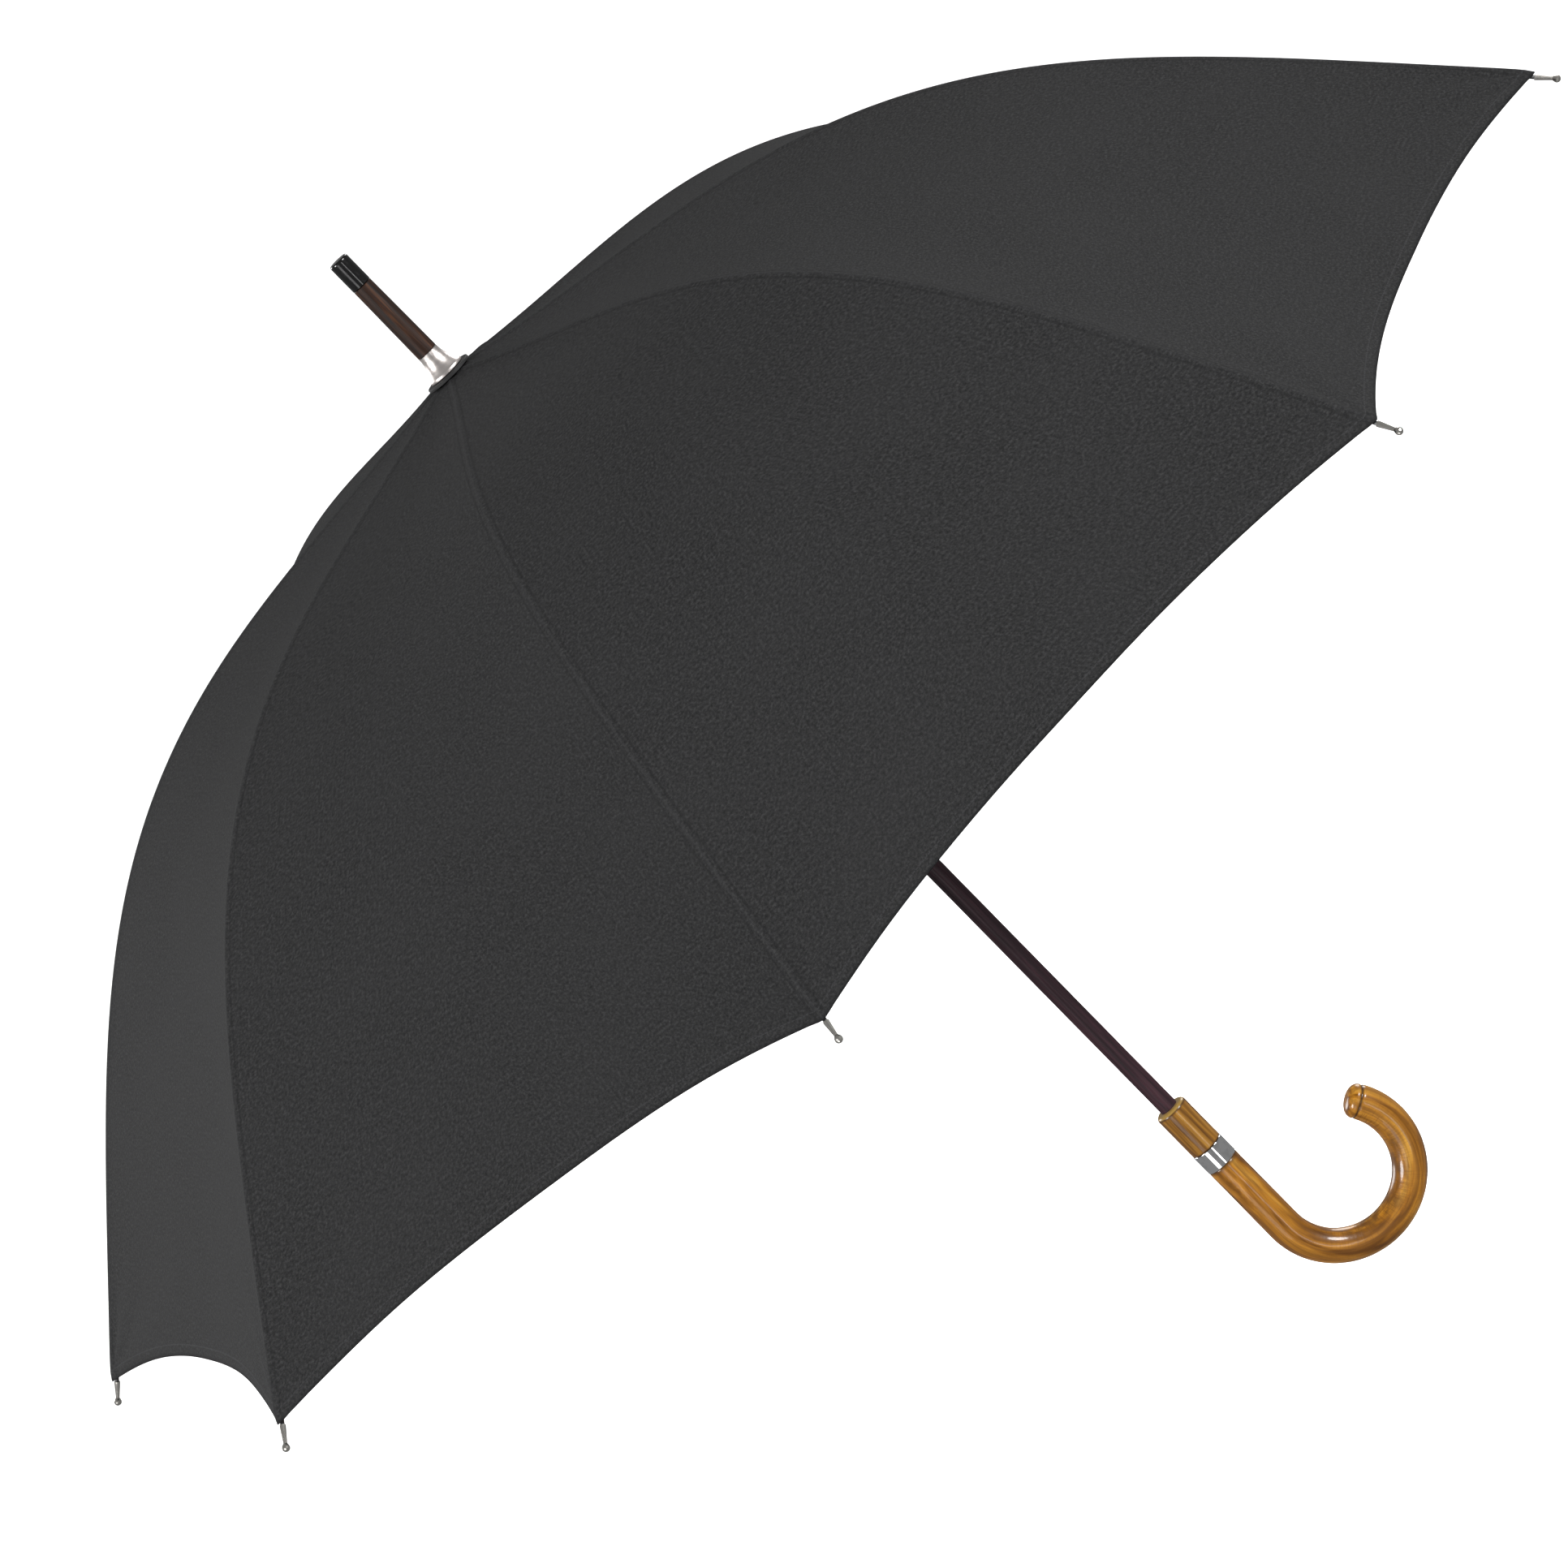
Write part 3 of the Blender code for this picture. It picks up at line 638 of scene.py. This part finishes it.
def crook_sections():
    """(length from the top, radius) of the crook's rings, ending in a lip and a dome."""
    sections = [(0, 0.6), (0, 0.955), (0.0005, 0.98), (0.0020, 0.985)]
    for i in range(1, 111):
        share = i / 110
        run = 0.0020 + share * (CREASE - 0.0045)
        sections.append((run, 0.985 + 0.015 * min(1, 3 * share)))
    lip = [(-0.0018, 1.0), (-0.0009, 0.985), (-0.0003, 0.945), (0.0003, 0.945), (0.0009, 0.98)]
    sections += [(CREASE + offset, radius) for offset, radius in lip]
    for i in range(1, 12):
        angle = math.radians(90) * i / 12
        sections.append((ROD_END + END_DOME * math.sin(angle), 0.985 * math.cos(angle) ** 0.72))
    return [(run, radius * CROOK_RADIUS) for run, radius in sections]


def build_crook(wood):
    around = 56
    points, straight = [], []
    for run, radius in crook_sections():
        middle, _, inward = crook_frame(run)
        for i in range(around):
            angle = 2 * math.pi * i / around
            inner, side = radius * math.cos(angle), radius * math.sin(angle)
            points.append(middle + inward * inner + Vector((0, side, 0)))
            straight.append((run, inner, side))
    rings = len(points) // around
    faces = [face[::-1] for face in side_faces(rings, around)]
    last = len(points) - around
    faces += [tuple(range(around))[::-1], tuple(last + i for i in range(around))]
    mesh = bpy.data.meshes.new("crook_wood")
    mesh.from_pydata(points, [], faces)
    attribute = mesh.attributes.new("straight", "FLOAT_VECTOR", "POINT")
    attribute.data.foreach_set("vector", np.array(straight, np.float32).ravel())
    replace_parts(new_object("crook_wood", mesh, wood, "shaft"), "crook")
    mesh.set_sharp_from_angle(angle=math.radians(50))


# ---- turned fittings ----


def rounded(radius, height, size, start, end, steps=5):
    """Points of a quarter round of that size about (radius, height), from one angle to another."""
    angles = [math.radians(start + (end - start) * i / steps) for i in range(steps + 1)]
    return [(radius + size * math.cos(a), height + size * math.sin(a)) for a in angles]


def with_edge_rings(profile, gap=0.0004):
    """Adds rings close to both ends of long straight runs, so that they are shaded straight."""
    result = [profile[0]]
    for (r0, z0), (r1, z1) in zip(profile, profile[1:]):
        length = math.hypot(r1 - r0, z1 - z0)
        if length > 5 * gap:
            shares = (gap / length, 1 - gap / length)
            result += [(r0 + (r1 - r0) * share, z0 + (z1 - z0) * share) for share in shares]
        result.append((r1, z1))
    return result


def turned(node, profile, material, slot, around=96):
    """A turned piece on the shaft that stands for a CAD node. The profile runs down its side."""
    profile = with_edge_rings(profile)
    rings, count = len(profile), around
    points = [
        (r * math.cos(2 * math.pi * i / count), r * math.sin(2 * math.pi * i / count), z)
        for r, z in profile
        for i in range(count)
    ]
    faces = side_faces(rings, count)
    faces += [tuple(range(count)), tuple((rings - 1) * count + i for i in range(count))[::-1]]
    mesh = bpy.data.meshes.new(f"{node}_turned")
    mesh.from_pydata(points, [], faces)
    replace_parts(new_object(f"{node}_turned", mesh, material, "shaft"), node)
    mesh.set_sharp_from_angle(angle=math.radians(40))


def node_ends(node):
    """Lowest height, highest height and radius of a turned CAD node."""
    low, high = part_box(node)
    return low[2], high[2], high[0]


def build_fittings():
    low, high, radius = node_ends("ferrule_cap")
    edge = 0.0014
    cap = rounded(radius - edge, high - edge, edge, 90, 0)
    cap += [(radius, low + 0.0003), (radius - 0.0002, low)]
    lacquer = moulded("black_lacquer", (0.002, 0.002, 0.0022), 0.08, 500, 0.2)
    turned("ferrule_cap", cap, lacquer, "black_lacquer")

    low, _, radius = node_ends("wood_ferrule")
    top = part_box("ferrule_cap")[0][2] - 0.0002
    stick = [(radius - 0.0006, top), (radius - 0.0004, top - 0.0002)]
    stick += [(radius, low + 0.0002), (radius - 0.0002, low)]
    turned("wood_ferrule", stick, walnut(), "walnut")

    low, high, radius = node_ends("ferrule_flare")
    neck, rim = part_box("wood_ferrule")[1][0], 0.0018
    waist = [i / 28 for i in range(29)]
    flare = [(neck + (radius - neck) * s**2.2, high - (high - low - rim) * s) for s in waist]
    flare += rounded(radius - 0.0006, low + 0.0006, 0.0006, 0, -90)
    steel = polished_metal("turned_steel", (0.80, 0.74, 0.71), 0.30, (0.04, 0.04, 1))
    turned("ferrule_flare", flare, steel, "polished_steel")

    low, high, radius = node_ends("crown_washer")
    washer = rounded(radius - 0.0008, high - 0.0008, 0.0008, 90, 0) + [(radius, low)]
    leather = moulded("washer_leather", (0.006, 0.006, 0.0065), 0.6, 1500)
    turned("crown_washer", washer, leather, "washer_leather")

    low, high, radius = node_ends("handle_ring")
    ring = rounded(radius - 0.0005, high - 0.0005, 0.0005, 90, 0)
    ring += rounded(radius - 0.0005, low + 0.0005, 0.0005, 0, -90)
    chrome = polished_metal("polished_steel", (0.84, 0.84, 0.85), 0.05, (1, 1, 0.05))
    turned("handle_ring", ring, chrome, "polished_steel")

    low, high, radius = node_ends("handle_collar")
    shoulder = rounded(radius - 0.0026, high - 0.0026, 0.0026, 90, 0, steps=9)
    collar = shoulder + [(radius, low + 0.0004), (radius - 0.0003, low)]
    turned("handle_collar", collar, collar_wood(), "maple")


# ---- the CAD's own nodes ----


def paint_nodes():
    steel = polished_metal("spring_steel", (0.50, 0.50, 0.51), 0.28, (1, 1, 0.06))
    nickel = polished_metal("nickel", (0.62, 0.60, 0.56), 0.16, (1, 1, 0.3))
    paint = painted_steel()
    looks = {
        "shaft": shaft_wood(),
        "notch": moulded("black_nylon", (0.012, 0.012, 0.013), 0.42, 1100),
        "runner": nickel,
        "top_catch": steel,
        "bottom_catch": steel,
    }
    for rib in range(1, RIB_COUNT + 1):
        looks[f"rib_{rib}_inner"] = looks[f"rib_{rib}_outer"] = looks[f"stretcher_{rib}"] = paint
        looks[f"rib_tip_{rib}"] = nickel
    for name, material in looks.items():
        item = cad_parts[name]
        item.data.materials.clear()
        item.data.materials.append(material)


# ---- studio ----


def build_floor():
    """A pale floor for the camera only: it sends no light to the umbrella and does not show in it."""
    bpy.ops.mesh.primitive_circle_add(vertices=96, radius=60, fill_type="NGON")
    floor = bpy.context.object
    floor.name = "floor"
    floor.location.z = CAD_LOW.z - FLOOR_DROP
    pale = Surface("floor_paper")
    cloud = pale.noise(1.5, detail=3)
    pale.set(Base_Color=pale.mix(cloud, (0.93, 0.93, 0.93), (0.95, 0.95, 0.95)), Roughness=0.95)
    pale.set(Specular_IOR_Level=0.1)
    floor.data.materials.append(pale.material)
    floor.visible_diffuse = floor.visible_glossy = False
    return floor


def add_light(name, place, size, power, height=0.0, aim=TARGET):
    """A soft light the camera does not see: a disk, or an upright strip when it has a height."""
    data = bpy.data.lights.new(name, "AREA")
    data.shape = "RECTANGLE" if height else "DISK"
    data.size, data.size_y = size, height or size
    data.energy = power
    lamp = bpy.data.objects.new(name, data)
    bpy.context.scene.collection.objects.link(lamp)
    lamp.location = place
    lamp.visible_camera = False
    lamp.rotation_mode = "QUATERNION"
    lamp.rotation_quaternion = (Vector(aim) - Vector(place)).to_track_quat("-Z", "Y")
    return lamp


def build_light(floor):
    """Even world light, soft lamps, and one wide lamp that lights the floor alone."""
    world = bpy.data.worlds.new("studio")
    world.use_nodes = True
    background = world.node_tree.nodes["Background"]
    background.inputs["Color"].default_value = (1, 1, 1, 1)
    background.inputs["Strength"].default_value = WORLD_LIGHT
    bpy.context.scene.world = world
    for name, place, width, power, height in LIGHTS:
        add_light(name, place, width, power, height)
    wash = add_light("floor_wash", (0, 0, 14), 140, 62600, aim=(0, 0, 0))
    only_floor = bpy.data.collections.new("only_floor")
    only_floor.objects.link(floor)
    wash.light_linking.receiver_collection = only_floor
    bpy.context.scene.view_settings.view_transform = "Standard"


def build_camera():
    level = Vector((math.sin(CAMERA_AZIMUTH), -math.cos(CAMERA_AZIMUTH), 0))
    back = level * math.cos(CAMERA_ELEVATION) + Vector((0, 0, math.sin(CAMERA_ELEVATION)))
    right = (-back).cross(Vector((0, 0, 1))).normalized()
    up = right.cross(-back)
    tilted_right = right * math.cos(CAMERA_ROLL) + up * math.sin(CAMERA_ROLL)
    tilted_up = up * math.cos(CAMERA_ROLL) - right * math.sin(CAMERA_ROLL)
    data = bpy.data.cameras.new("camera")
    data.lens = LENS
    data.sensor_width = 36
    camera = bpy.data.objects.new("camera", data)
    bpy.context.scene.collection.objects.link(camera)
    rotation = Matrix((tilted_right, tilted_up, back)).transposed().to_4x4()
    camera.matrix_world = Matrix.Translation(TARGET + back * CAMERA_DISTANCE) @ rotation
    bpy.context.scene.camera = camera


build_camera()
build_light(build_floor())
build_canopy(canopy_cloth())
build_crook(maple())
build_fittings()
paint_nodes()
